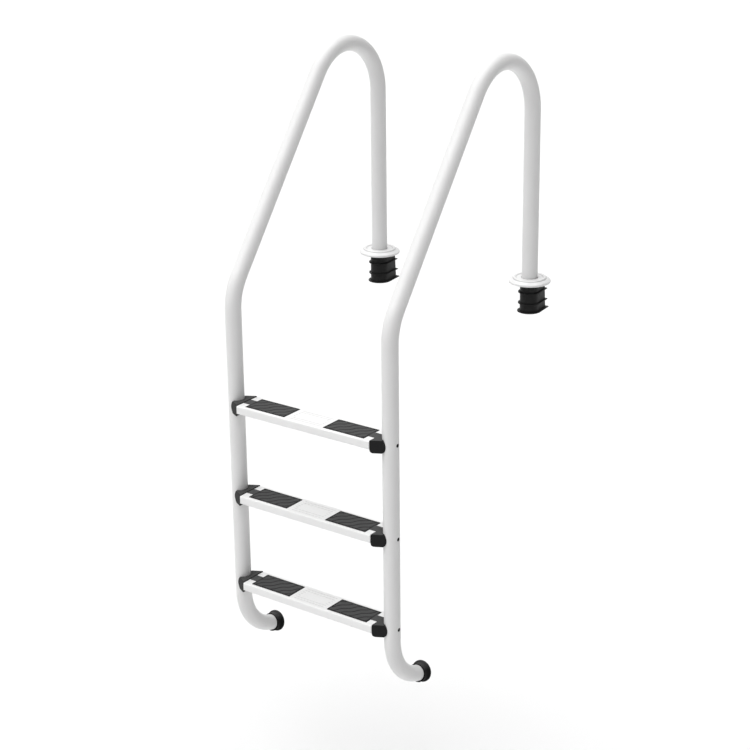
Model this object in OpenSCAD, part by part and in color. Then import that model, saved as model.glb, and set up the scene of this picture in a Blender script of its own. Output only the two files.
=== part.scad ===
// Pool ladder with three steps, held by two sockets cast into the pool deck.
// X runs across the ladder, +Y points from the pool towards the deck, +Z is up.
// The origin lies midway between the two rails, on the deck surface, in line with the deck legs.

/* [Rails] */
// Outside diameter of the rail tube
tube_d = 43; // [38:1:50]
// Wall thickness of the rail tube
tube_wall = 1.5; // [1.2:0.1:3]
// Distance between the axes of the two rails
rail_spacing = 500; // [420:5:650]
// Distance from the deck leg's axis to the pool leg's axis
reach = 640; // [520:5:800]
// Height above the deck where the top bend starts
deck_leg_h = 467; // [350:1:600]
// Angle that the top bend turns through
top_bend_deg = 143.7; // [138:0.1:150]
// Centre line radius of all bends
bend_r = 148; // [120:1:180]
// Angle that the foot bend turns through
foot_bend_deg = 80.6; // [60:0.1:90]
// Depth below the deck where the foot bend starts
foot_bend_z = 804.7; // [800:0.1:1000]
// Straight length of tube after the foot bend
foot_run = 1; // [1:0.1:40]

/* [Steps] */
// Number of millimetres from the deck down to the top of the first step
first_step_drop = 245; // [200:1:280]
// Height from one step to the next
step_pitch = 255; // [240:1:270]
// Depth of a step from front to back
step_depth = 86; // [76:1:110]
// Height of a step
step_h = 22; // [20:0.5:30]
// Radius of a step's top edges
step_edge_r = 3; // [1:0.5:5]
// Wall thickness of a step
step_wall = 2.5; // [2:0.1:4]
// Distance of the inner webs from the middle of a step
step_web_y = 17; // [15:0.5:24]

/* [Grip pads] */
// Length of a grip pad along the step
pad_len = 129; // [90:1:140]
// Depth of a grip pad from front to back
pad_depth = 68; // [50:1:72]
// Distance from the rail's axis to the near edge of a pad
pad_from_rail = 58.4; // [52:0.2:70]
// Thickness of a pad
pad_t = 2.2; // [1.8:0.1:3]
// Height that a pad stands above the step
pad_proud = 0.8; // [0.4:0.1:1.2]
// Width of the tail between a pad and its end cap
tail_w = 29; // [20:0.5:34]
// Gap around a pad in its recess
pad_gap = 0.3; // [0.1:0.05:0.6]
// Radius of the pegs that hold a pad in the step
peg_r = 2; // [1.5:0.1:3]

/* [End caps] */
// Distance from the rail's axis to the end of the step
cap_reach = 36; // [33:0.5:42]
// Depth of an end cap from front to back
cap_depth = 84; // [70:1:86]
// Height of an end cap above the step's top
cap_rise = 2.5; // [1.5:0.1:4]
// Height of an end cap below the step's top
cap_drop = 32; // [30:0.5:38]
// Radius of the rounded end of the arms that hold the tube
arm_tip_r = 22; // [20:0.5:30]
// Gap between an end cap and the tube
cap_gap = 0.1; // [0.05:0.05:0.3]
// Length of the plugs that enter the hollow step
plug_len = 20; // [14:1:30]
// Gap around the plugs
plug_gap = 0.2; // [0.1:0.05:0.4]

/* [Step screws] */
// Radius of the step screw's shank
screw_r = 3; // [2.5:0.5:4]
// Radius of the step screw's head
screw_head_r = 5; // [4.5:0.25:6.5]
// Height of the step screw's head
screw_head_h = 6; // [4:0.5:8]
// Distance of the screw's axis below the step's top
screw_drop = 12; // [11:0.5:13]
// Width across flats of the captive nut
nut_af = 10; // [9:0.5:12]
// Thickness of the captive nut
nut_h = 5; // [4:0.5:6]
// Clearance radius around the shank
screw_gap = 0.3; // [0.2:0.05:0.5]

/* [Foot bumpers] */
// Thickness of a foot bumper's rim around the tube
bumper_wall = 4; // [3.5:0.5:6]
// Reach of a foot bumper's flange beyond that rim
bumper_flange = 4; // [2:0.5:8]
// Length of a foot bumper
bumper_len = 25; // [18:0.5:28]
// Depth of the groove behind the bumper's rim
bumper_groove = 1.2; // [0.8:0.1:2]
// Thickness of the bumper's pad in front of the tube's end
bumper_pad_t = 9; // [3:0.5:11]
// Gap between a bumper and the tube
bumper_gap = 0.05; // [0.02:0.01:0.1]

/* [Rosettes] */
// Outside radius of a rosette
rosette_r = 57; // [48:0.5:70]
// Radius of the raised ring on a rosette
ring_r = 44.5; // [40:0.5:47]
// Height of a rosette
rosette_h = 14.8; // [13:0.2:20]
// Height of a rosette's outer edge
rim_h = 7; // [5:0.2:9]
// Wall thickness of a rosette
rosette_wall = 2.2; // [1.6:0.1:3]
// Gap between the tube and what slides or turns beside it
slide_gap = 0.3; // [0.2:0.05:0.5]

/* [Deck sockets] */
// Height of a deck socket
socket_h = 82; // [70:1:110]
// Wall thickness of a socket around the tube
socket_wall = 3.7; // [3:0.1:6]
// Depth of the wedge pocket behind the tube, at the deck
pocket_depth = 20.7; // [9:0.1:24]
// Angle at which the socket's sides close in towards its back
side_taper_deg = 7; // [0:1:10]
// Lean of the flat back, which opens the wedge pocket downwards
back_lean_deg = 5; // [3:0.5:7]
// Thickness of the flat back wall
back_wall = 3.5; // [2.5:0.1:5]
// Thickness of the socket's bottom stop
stop_t = 4; // [3:0.5:6]
// Depth of the upper anchoring rib below the deck
upper_rib_drop = 26.5; // [15:0.5:30]
// Depth of the lower anchoring rib below the deck
lower_rib_drop = 57; // [40:0.5:62]
// Reach of the ribs out of the socket's wall
rib_out = 5; // [3:0.5:8]
// Thickness of a rib
rib_t = 2; // [1.5:0.5:5]
// Reach of the bottom flange out of the socket's wall
flange_out = 7; // [4:0.5:10]

/* [Clamp] */
// Radius of the clamp screw's shank
clamp_r = 3; // [2.5:0.5:3.5]
// Radius of the clamp screw's head
clamp_head_r = 5; // [4.5:0.25:5.5]
// Height of the clamp screw's head
clamp_head_h = 6; // [4:0.5:7]
// Length of the clamp screw's shank
clamp_len = 62; // [55:1:68]
// Width of the wedge
wedge_w = 22; // [16:1:26]
// Height of the wedge
wedge_h = 40; // [30:1:45]
// Distance of the wedge's top below the deck
wedge_drop = 22; // [14:1:25]
// Radius of the washer under the clamp screw's head
washer_r = 5.5; // [5:0.1:5.7]
// Thickness of that washer
washer_t = 1.6; // [1:0.1:2]

/* [Hidden] */
$fn = 64;

tube_r = tube_d / 2;
bore_r = tube_r - tube_wall;
half_spacing = rail_spacing / 2;
cut = 1;
step_tops = [for (i = [0 : 2]) -first_step_drop - i * step_pitch];
sides = [-1, 1];

// rail path
slope_deg = 180 - top_bend_deg;
top_end_y = bend_r * (cos(top_bend_deg) - 1);
top_end_z = deck_leg_h + bend_r * sin(top_bend_deg);
knee_tangent = bend_r * tan(slope_deg / 2);
slope_len = (reach + top_end_y) / sin(slope_deg) - knee_tangent;
knee_end_z = top_end_z - (slope_len + knee_tangent) * cos(slope_deg) - knee_tangent;
socket_depth = socket_h - stop_t;
insert_depth = socket_depth - slide_gap;
foot_end_y = bend_r * (1 - cos(foot_bend_deg)) - reach;
foot_end_z = -foot_bend_z - bend_r * sin(foot_bend_deg);
tube_end_y = foot_end_y + foot_run * sin(foot_bend_deg);
tube_end_z = foot_end_z - foot_run * cos(foot_bend_deg);
lip_r = tube_r + bumper_wall;
bumper_r = lip_r + bumper_flange;
seam_half = 0.5;
seam_rise = 0.02;
seam_gap = 0.05;

// steps and what is on them
step_len = rail_spacing - 2 * cap_reach;
web_t = step_wall;
chamber_h = step_h - 2 * step_wall;
side_chamber_w = step_depth / 2 - step_wall - step_web_y - web_t / 2;
mid_chamber_w = 2 * step_web_y - web_t;
recess_depth = pad_t - pad_proud;
top_wall = step_wall + recess_depth;
clear_chamber_h = step_h - step_wall - top_wall;
peg_inset = 14;
peg_spots = [for (x = [peg_inset, pad_len - peg_inset], y = [-1, 1]) [x, y * pad_depth / 4]];
panel_len = 100;
panel_depth = 60;
panel_grooves = 11;
groove_w = 1.6;
groove_depth = 0.5;
badge_len = 84;
badge_depth = 18;
cap_mid = (cap_rise - cap_drop) / 2;
cap_h = cap_rise + cap_drop;
cap_corner = 1.5;
cap_foot_r = 9;
peg_gap = 0.05;
arm_root = 2;
arm_start_y = tube_r + 2;
nut_pocket = nut_h + 0.2;
nut_gap = 0.1;
screw_seat = sqrt(pow(bore_r, 2) - pow(screw_head_r, 2)) - 0.05;
screw_end = cap_reach + plug_len + 2;
head_hole_r = screw_head_r + 0.2;
hole_plug_gap = 0.1;
hole_plug_len = tube_wall + 2;
hole_plug_proud = 0.4;
thread_gap = 0.05;
socket_key_af = 5;

// deck socket and clamp
rib_drops = [upper_rib_drop, lower_rib_drop];
socket_bore_r = tube_r + slide_gap;
socket_r = socket_bore_r + socket_wall;
socket_back = socket_bore_r + pocket_depth + back_wall;
clamp_y = max(tube_r + slide_gap + washer_r, socket_bore_r + pocket_depth / 2);
pocket_w = wedge_w + 2 * slide_gap;
plate_t = 4;
stop_lip = 2;
side_inset = 0.05;
rim_bulge = 0.5;

function back_y(z) = socket_back - z * tan(back_lean_deg);
function hex_r(af) = af / 2 / cos(30);

// turns a shape that was drawn for the X-Y plane into the Y-Z plane
module to_side() {
    rotate([90, 0, 90]) children();
}

module bend(r, start_deg, turn_deg) {
    to_side()
        rotate([0, 0, start_deg])
            rotate_extrude(angle = turn_deg)
                translate([bend_r, 0])
                    circle(r = r);
}

// a hair-thin ring that ties a bend to the straight tube beside it
module seam(r) {
    translate([0, 0, -seam_half])
        cylinder(r = r + seam_rise, h = 2 * seam_half);
}

module straight(r, len) {
    translate([0, 0, seam_gap])
        cylinder(r = r, h = len - 2 * seam_gap);
    seam(r);
    translate([0, 0, len])
        seam(r);
}

// the last bend and the end of the rail, longer by "over"
module foot_rod(r, over) {
    translate([0, bend_r - reach, -foot_bend_z])
        bend(r, 180, foot_bend_deg);
    translate([0, foot_end_y, foot_end_z])
        rotate([180 + foot_bend_deg, 0, 0]) {
            seam(r);
            translate([0, 0, seam_gap])
                cylinder(r = r, h = foot_run + over - seam_gap);
        }
}

// one solid rod along the rail's centre line, longer by "over" at both ends
module rail_rod(r, over) {
    translate([0, 0, -insert_depth - over])
        cylinder(r = r, h = insert_depth + over + deck_leg_h - seam_gap);
    translate([0, 0, deck_leg_h])
        seam(r);
    translate([0, -bend_r, deck_leg_h])
        bend(r, 0, top_bend_deg);
    translate([0, top_end_y, top_end_z])
        rotate([top_bend_deg, 0, 0])
            straight(r, slope_len);
    translate([0, bend_r - reach, knee_end_z])
        bend(r, top_bend_deg, slope_deg);
    translate([0, -reach, knee_end_z])
        rotate([180, 0, 0])
            straight(r, foot_bend_z + knee_end_z);
    foot_rod(r, over);
}

// side is -1 for the left rail and 1 for the right one
module rail(side) {
    color("whitesmoke")
    translate([side * half_spacing, 0, 0])
    difference() {
        rail_rod(tube_r, 0);
        rail_rod(bore_r, cut);
        for (top = step_tops)
            translate([0, -reach, top - screw_drop])
                rotate([0, side * 90, 0]) {
                    cylinder(r = head_hole_r, h = tube_r + cut);
                    translate([0, 0, -tube_r - cut])
                        cylinder(r = screw_r + screw_gap, h = tube_r + cut);
                }
    }
}

module rail_left() { rail(-1); }
module rail_right() { rail(1); }

module rounded_bar(w, h, r) {
    square([w - 2 * r, h], center = true);
    square([w, h - 2 * r], center = true);
    for (x = [-1, 1], y = [-1, 1])
        translate([x * (w / 2 - r), y * (h / 2 - r)])
            circle(r = r);
}

// the three hollows that run through a step
module step_chambers(len, gap) {
    z_mid = -top_wall - clear_chamber_h / 2;
    h = clear_chamber_h - 2 * gap;
    translate([0, 0, z_mid])
        cube([len, mid_chamber_w - 2 * gap, h], center = true);
    for (s = sides)
        translate([0, s * (step_web_y + web_t / 2 + side_chamber_w / 2), z_mid])
            cube([len, side_chamber_w - 2 * gap, h], center = true);
}

// outline of a pad and its tail, from the step's end, grown by "grow"
module pad_outline(grow) {
    tail_len = pad_from_rail - cap_reach;
    translate([tail_len - grow, -pad_depth / 2 - grow])
        square([pad_len + 2 * grow, pad_depth + 2 * grow]);
    translate([0, -tail_w / 2 - grow])
        square([tail_len + cut, tail_w + 2 * grow]);
}

module at_step_end(side) {
    translate([side * half_spacing, -reach, 0])
        mirror([side > 0 ? 1 : 0, 0, 0])
            children();
}

module peg_holes(r) {
    for (spot = peg_spots)
        translate([pad_from_rail + spot[0], spot[1], -top_wall - cut])
            cylinder(r = r, h = top_wall + cut);
}

// fine grooves and a plain badge in the middle of a step
module centre_panel() {
    groove_pitch = (panel_depth - groove_w) / (panel_grooves - 1);
    difference() {
        for (i = [0 : panel_grooves - 1])
            translate([-panel_len / 2, -panel_depth / 2 + i * groove_pitch, -groove_depth])
                cube([panel_len, groove_w, groove_depth + cut]);
        cube([badge_len, badge_depth, 4 * groove_depth], center = true);
    }
}

module step(index) {
    color("white")
    difference() {
        translate([-step_len / 2, -reach, step_tops[index] - step_h / 2])
            to_side()
                linear_extrude(step_len)
                    rounded_bar(step_depth, step_h, step_edge_r);
        translate([0, -reach, step_tops[index]]) {
            step_chambers(step_len + 2 * cut, 0);
            centre_panel();
        }
        for (side = sides)
            translate([0, 0, step_tops[index]])
                at_step_end(side) {
                    translate([cap_reach - cut, 0, -recess_depth]) {
                        linear_extrude(recess_depth + cut)
                            translate([cut, 0])
                                pad_outline(pad_gap);
                        translate([0, -tail_w / 2 - pad_gap, 0])
                            cube([2 * cut, tail_w + 2 * pad_gap, recess_depth + cut]);
                    }
                    peg_holes(peg_r + peg_gap);
                }
    }
}

module top_step() { step(0); }
module middle_step() { step(1); }
module bottom_step() { step(2); }

module pad(index, side) {
    color("dimgray")
    translate([0, 0, step_tops[index]])
        at_step_end(side) {
            translate([cap_reach, 0, -recess_depth])
                linear_extrude(pad_t)
                    pad_outline(0);
            for (spot = peg_spots)
                translate([pad_from_rail + spot[0], spot[1], -top_wall])
                    cylinder(r = peg_r, h = top_wall);
        }
}

module top_step_pad_left() { pad(0, -1); }
module top_step_pad_right() { pad(0, 1); }
module middle_step_pad_left() { pad(1, -1); }
module middle_step_pad_right() { pad(1, 1); }
module bottom_step_pad_left() { pad(2, -1); }
module bottom_step_pad_right() { pad(2, 1); }

// top view of an end cap: a block that narrows to two arms beside the tube
module cap_plan() {
    half = cap_depth / 2;
    polygon([
        [0, -arm_start_y], [arm_root, -arm_start_y],
        [cap_reach - cap_corner, -half], [cap_reach, -half + cap_corner],
        [cap_reach, half - cap_corner], [cap_reach - cap_corner, half],
        [arm_root, arm_start_y], [0, arm_start_y]
    ]);
}

// front view of an end cap: a block with a round end towards the rail and a round corner below
module cap_face() {
    difference() {
        intersection() {
            translate([0, -cap_drop])
                square([cap_reach, cap_h]);
            union() {
                translate([arm_tip_r, cap_mid])
                    circle(r = arm_tip_r);
                translate([arm_tip_r, -cap_drop - cut])
                    square([cap_reach, cap_h + 2 * cut]);
            }
        }
        difference() {
            translate([cap_reach - cap_foot_r, -cap_drop - cut])
                square([cap_foot_r + cut, cap_foot_r + cut]);
            translate([cap_reach - cap_foot_r, cap_foot_r - cap_drop])
                circle(r = cap_foot_r);
        }
    }
}

module cap(index, side) {
    screw_line = cap_reach + plug_len;
    color("#262626")
    translate([0, 0, step_tops[index]])
        at_step_end(side)
            difference() {
                union() {
                    intersection() {
                        translate([0, 0, -cap_drop])
                            linear_extrude(cap_h)
                                cap_plan();
                        translate([0, cap_depth / 2 + cut, 0])
                            rotate([90, 0, 0])
                                linear_extrude(cap_depth + 2 * cut)
                                    cap_face();
                    }
                    translate([cap_reach + plug_len / 2, 0, 0])
                        step_chambers(plug_len, plug_gap);
                }
                translate([0, 0, -cap_drop - cut])
                    cylinder(r = tube_r + cap_gap, h = cap_h + 2 * cut);
                translate([0, 0, -screw_drop])
                    rotate([0, 90, 0]) {
                        cylinder(r = screw_r + screw_gap, h = screw_line + cut);
                        translate([0, 0, screw_line - nut_pocket])
                            cylinder(r = hex_r(nut_af + 2 * nut_gap), h = nut_pocket + cut, $fn = 6);
                    }
            }
}

module top_step_cap_left() { cap(0, -1); }
module top_step_cap_right() { cap(0, 1); }
module middle_step_cap_left() { cap(1, -1); }
module middle_step_cap_right() { cap(1, 1); }
module bottom_step_cap_left() { cap(2, -1); }
module bottom_step_cap_right() { cap(2, 1); }

// runs its children once at every step screw, with Z along the screw towards the step
module at_step_screws() {
    for (top = step_tops, side = sides)
        translate([0, 0, top])
            at_step_end(side)
                translate([0, 0, -screw_drop])
                    rotate([0, 90, 0])
                        children();
}

module step_screws() {
    color("silver")
    at_step_screws()
        difference() {
            union() {
                translate([0, 0, screw_seat - screw_head_h])
                    cylinder(r = screw_head_r, h = screw_head_h);
                translate([0, 0, screw_seat])
                    cylinder(r = screw_r, h = screw_end - screw_seat);
            }
            translate([0, 0, screw_seat - screw_head_h - cut])
                cylinder(r = hex_r(socket_key_af), h = screw_head_h / 2 + cut, $fn = 6);
        }
}

module step_nuts() {
    color("silver")
    at_step_screws()
        translate([0, 0, cap_reach + plug_len - nut_h])
            difference() {
                cylinder(r = hex_r(nut_af), h = nut_h, $fn = 6);
                translate([0, 0, -cut])
                    cylinder(r = screw_r + thread_gap, h = nut_h + 2 * cut);
            }
}

module screw_hole_plugs() {
    color("#1c1c1c")
    at_step_screws()
        intersection() {
            translate([0, 0, -tube_r - cut])
                cylinder(r = head_hole_r - hole_plug_gap, h = cut + hole_plug_len);
            rotate([0, 90, 0])
                cylinder(r = tube_r + hole_plug_proud, h = 4 * head_hole_r, center = true);
        }
}

// outline of a bumper on one side of its axis, from the tube side to the wall side
module bumper_section() {
    lip = 3;
    rim = 5;
    flare = 5;
    edge = 1.5;
    neck_r = lip_r - bumper_groove;
    polygon([
        [0, 0], [lip_r - edge / 2, 0],
        [lip_r, edge / 2], [lip_r, lip - edge / 2],
        [neck_r, lip + bumper_groove], [neck_r, bumper_len - rim - flare],
        [bumper_r, bumper_len - rim], [bumper_r, bumper_len - edge],
        [bumper_r - edge, bumper_len], [0, bumper_len]
    ]);
}

module foot_bumper(side) {
    color("#202020")
    translate([side * half_spacing, 0, 0])
        difference() {
            translate([0, tube_end_y, tube_end_z])
                rotate([180 + foot_bend_deg, 0, 0])
                    translate([0, 0, bumper_pad_t + bumper_gap - bumper_len])
                        rotate_extrude()
                            bumper_section();
            foot_rod(tube_r + bumper_gap, bumper_gap);
        }
}

module foot_bumper_left() { foot_bumper(-1); }
module foot_bumper_right() { foot_bumper(1); }

// outline of a rosette on one side of its axis, a thin cover with a raised ring
module rosette_section() {
    r = rosette_r;
    h = rosette_h;
    w = rosette_wall;
    floor_h = h - 2;
    ring_in = ring_r - 8;
    hole = tube_r + slide_gap;
    shoulder_h = h - 3.4;
    collar_h = 8;
    polygon([
        [r - 2, 0], [r - rim_bulge, 1], [r, rim_h / 2], [r - rim_bulge, rim_h - 1.4],
        [r - 2, rim_h],
        [ring_r + 0.8, shoulder_h], [ring_r, h - 1], [ring_r - 1.2, h],
        [ring_in + 1.6, h], [ring_in + 0.6, h - 0.8], [ring_in, floor_h],
        [hole + 0.6, floor_h], [hole, floor_h - 0.6],
        [hole, collar_h], [hole + w, collar_h], [hole + w, floor_h - w],
        [ring_in + 1.6, floor_h - w], [ring_in + 2.6, h - w], [ring_r - w, h - w],
        [ring_r - w + 0.8, shoulder_h - w], [r - w - 2, rim_h - w],
        [r - w - rim_bulge, rim_h / 2], [r - w - 2, 0]
    ]);
}

module rosette(side) {
    color("white")
    translate([side * half_spacing, 0, 0])
        rotate_extrude($fn = 96)
            rosette_section();
}

module rosette_left() { rosette(-1); }
module rosette_right() { rosette(1); }

// side view of the space in front of the leaning back, moved towards the deck by "out"
module behind_front(out, z_low, z_high) {
    polygon([
        [-2 * socket_r - out, z_low], [back_y(z_low) + out, z_low],
        [back_y(z_high) + out, z_high], [-2 * socket_r - out, z_high]
    ]);
}

// plan of a socket: round around the tube, its sides closing in towards the back
module socket_plan(r) {
    side_x = (r - side_inset) * cos(side_taper_deg);
    side_y = (r - side_inset) * sin(side_taper_deg);
    far_y = 2 * socket_back;
    far_x = side_x - (far_y - side_y) * tan(side_taper_deg);
    circle(r = r);
    polygon([[-side_x, side_y], [side_x, side_y], [far_x, far_y], [-far_x, far_y]]);
}

// a slice of the socket's outer shape from z_low to z_high, grown by "out"
module socket_slice(out, z_low, z_high) {
    r = socket_r + out;
    intersection() {
        translate([0, 0, z_low])
            linear_extrude(z_high - z_low)
                socket_plan(r);
        translate([-r - cut, 0, 0])
            to_side()
                linear_extrude(2 * r + 2 * cut)
                    behind_front(out, z_low, z_high);
    }
}

module deck_socket(side) {
    color("#242424")
    translate([side * half_spacing, 0, 0])
        difference() {
            union() {
                socket_slice(0, -socket_h, 0);
                for (drop = rib_drops)
                    socket_slice(rib_out, -drop - rib_t, -drop);
                socket_slice(flange_out, -socket_h, rib_t - socket_h);
            }
            translate([0, 0, -socket_depth])
                cylinder(r = socket_bore_r, h = socket_depth + cut);
            translate([0, 0, -socket_h - cut])
                cylinder(r = bore_r - stop_lip, h = socket_h);
            // pocket for the wedge, open below
            translate([-pocket_w / 2, 0, 0])
                to_side()
                    linear_extrude(pocket_w)
                        polygon([
                            [0, -socket_h - cut], [back_y(-socket_h - cut) - back_wall, -socket_h - cut],
                            [back_y(-plate_t) - back_wall, -plate_t], [0, -plate_t]
                        ]);
            translate([0, clamp_y, -plate_t - cut])
                cylinder(r = clamp_r + screw_gap, h = plate_t + 2 * cut);
        }
}

module deck_socket_left() { deck_socket(-1); }
module deck_socket_right() { deck_socket(1); }

module clamp_wedge(side) {
    low = -wedge_drop - wedge_h;
    high = -wedge_drop;
    color("darkgray")
    translate([side * half_spacing, 0, 0])
        difference() {
            translate([-wedge_w / 2, 0, 0])
                to_side()
                    linear_extrude(wedge_w)
                        polygon([
                            [0, low], [back_y(low) - back_wall - slide_gap, low],
                            [back_y(high) - back_wall - slide_gap, high], [0, high]
                        ]);
            translate([0, 0, low - cut])
                cylinder(r = socket_bore_r, h = wedge_h + 2 * cut);
            translate([0, clamp_y, low - cut])
                cylinder(r = clamp_r + thread_gap, h = wedge_h + 2 * cut);
        }
}

module clamp_wedge_left() { clamp_wedge(-1); }
module clamp_wedge_right() { clamp_wedge(1); }

module clamp_screw(side) {
    color("silver")
    translate([side * half_spacing, clamp_y, washer_t])
        difference() {
            union() {
                cylinder(r = clamp_head_r, h = clamp_head_h);
                translate([0, 0, -clamp_len])
                    cylinder(r = clamp_r, h = clamp_len);
            }
            translate([0, 0, clamp_head_h / 2])
                cylinder(r = hex_r(socket_key_af), h = clamp_head_h, $fn = 6);
        }
}

module clamp_screw_left() { clamp_screw(-1); }
module clamp_screw_right() { clamp_screw(1); }

module clamp_washers() {
    color("silver")
    for (side = sides)
        translate([side * half_spacing, clamp_y, 0])
            difference() {
                cylinder(r = washer_r, h = washer_t);
                translate([0, 0, -cut])
                    cylinder(r = clamp_r + screw_gap, h = washer_t + 2 * cut);
            }
}

rail_left();
rail_right();
top_step();
middle_step();
bottom_step();
top_step_pad_left();
top_step_pad_right();
middle_step_pad_left();
middle_step_pad_right();
bottom_step_pad_left();
bottom_step_pad_right();
top_step_cap_left();
top_step_cap_right();
middle_step_cap_left();
middle_step_cap_right();
bottom_step_cap_left();
bottom_step_cap_right();
step_screws();
step_nuts();
screw_hole_plugs();
foot_bumper_left();
foot_bumper_right();
rosette_left();
rosette_right();
deck_socket_left();
deck_socket_right();
clamp_wedge_left();
clamp_wedge_right();
clamp_screw_left();
clamp_screw_right();
clamp_washers();
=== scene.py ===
import math

import bmesh
import bpy
from mathutils import Matrix, Vector


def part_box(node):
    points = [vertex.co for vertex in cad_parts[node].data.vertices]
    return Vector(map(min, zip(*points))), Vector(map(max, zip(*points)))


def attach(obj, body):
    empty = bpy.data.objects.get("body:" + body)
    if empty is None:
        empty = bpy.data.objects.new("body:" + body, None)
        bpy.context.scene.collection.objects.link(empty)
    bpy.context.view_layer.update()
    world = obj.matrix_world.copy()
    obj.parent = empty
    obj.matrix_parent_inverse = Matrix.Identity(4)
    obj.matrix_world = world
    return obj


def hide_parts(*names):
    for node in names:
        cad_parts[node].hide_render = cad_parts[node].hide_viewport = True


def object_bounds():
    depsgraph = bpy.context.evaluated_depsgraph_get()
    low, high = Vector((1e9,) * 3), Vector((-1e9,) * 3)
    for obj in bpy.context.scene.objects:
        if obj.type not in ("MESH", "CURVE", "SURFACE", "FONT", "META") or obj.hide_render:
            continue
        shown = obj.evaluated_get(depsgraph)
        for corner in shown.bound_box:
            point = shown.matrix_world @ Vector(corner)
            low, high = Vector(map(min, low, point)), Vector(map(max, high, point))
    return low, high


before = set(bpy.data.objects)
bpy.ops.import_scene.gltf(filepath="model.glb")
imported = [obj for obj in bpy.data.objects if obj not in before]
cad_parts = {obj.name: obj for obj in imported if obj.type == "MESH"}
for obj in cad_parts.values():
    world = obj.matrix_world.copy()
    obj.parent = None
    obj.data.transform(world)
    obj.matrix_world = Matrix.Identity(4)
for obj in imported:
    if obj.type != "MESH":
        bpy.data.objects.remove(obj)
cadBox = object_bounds()
mm = 0.001
metre = 1000.0  # in millimetres, the unit of every size below
sides = {"left": -1, "right": 1}
stepNames = ("top", "middle", "bottom")


# shader maths: a socket that takes part in Python expressions

class Wire:
    def __init__(self, socket, tree):
        self.socket = socket
        self.tree = tree

    def maths(self, kind, first, second):
        node = self.tree.nodes.new("ShaderNodeMath")
        node.operation = kind
        for index, value in enumerate((first, second)):
            if isinstance(value, Wire):
                self.tree.links.new(value.socket, node.inputs[index])
            else:
                node.inputs[index].default_value = value
        return Wire(node.outputs[0], self.tree)

    def __add__(self, other):
        return self.maths("ADD", self, other)

    def __sub__(self, other):
        return self.maths("SUBTRACT", self, other)

    def __rsub__(self, other):
        return self.maths("SUBTRACT", other, self)

    def __mul__(self, other):
        return self.maths("MULTIPLY", self, other)

    __radd__ = __add__
    __rmul__ = __mul__


class Finish:
    # one material, its shader and a way to add nodes to it
    def __init__(self, name, **constants):
        self.material = bpy.data.materials.new(name)
        self.material.use_nodes = True
        self.tree = self.material.node_tree
        self.shader = next(n for n in self.tree.nodes if n.type == "BSDF_PRINCIPLED")
        for socketName, value in constants.items():
            self.shader.inputs[socketName.replace("_", " ")].default_value = value
        self.place = self.add("TexCoord", "Object")

    def add(self, kind, output, settings=None, **inputs):
        node = self.tree.nodes.new("ShaderNode" + kind)
        for key, value in (settings or {}).items():
            setattr(node, key, value)
        for key, value in inputs.items():
            # i6 is input number 6, any other key is an input's name
            numbered = key[0] == "i" and key[1:].isdigit()
            socket = node.inputs[int(key[1:]) if numbered else key.replace("_", " ")]
            if isinstance(value, Wire):
                self.tree.links.new(value.socket, socket)
            else:
                socket.default_value = value
        return Wire(node.outputs[output], self.tree)

    def attribute(self, name):
        return self.add("Attribute", "Fac", {"attribute_name": name})

    def stretched(self, scale):
        return self.add("Mapping", "Vector", Vector=self.place, Scale=scale)

    def noise(self, size, detail=3.0, roughness=0.55, vector=None):
        # size is the grain's width in millimetres
        return self.add(
            "TexNoise", "Fac",
            Vector=vector or self.place, Scale=metre / size, Detail=detail, Roughness=roughness,
        )

    def spots(self, size):
        return self.add("TexVoronoi", "Distance", Vector=self.place, Scale=metre / size)

    def ramp(self, value, low, high):
        # 0 up to low, 1 from high on
        return self.add("MapRange", "Result", {"clamp": True}, Value=value, From_Min=low, From_Max=high)

    def blend(self, mask, first, second):
        return self.add("Mix", 2, {"data_type": "RGBA"}, i0=mask, i6=first, i7=second)

    def feed(self, **sockets):
        for name, wire in sockets.items():
            self.tree.links.new(wire.socket, self.shader.inputs[name.replace("_", " ")])
        return self

    def bump(self, height, depth, strength=1.0):
        # depth in millimetres
        normal = self.add("Bump", "Normal", Height=height, Distance=depth * mm, Strength=strength)
        return self.feed(Normal=normal)


def grey(value, warm=0.0):
    return (value * (1 + warm), value, value * (1 - warm), 1.0)


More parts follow.
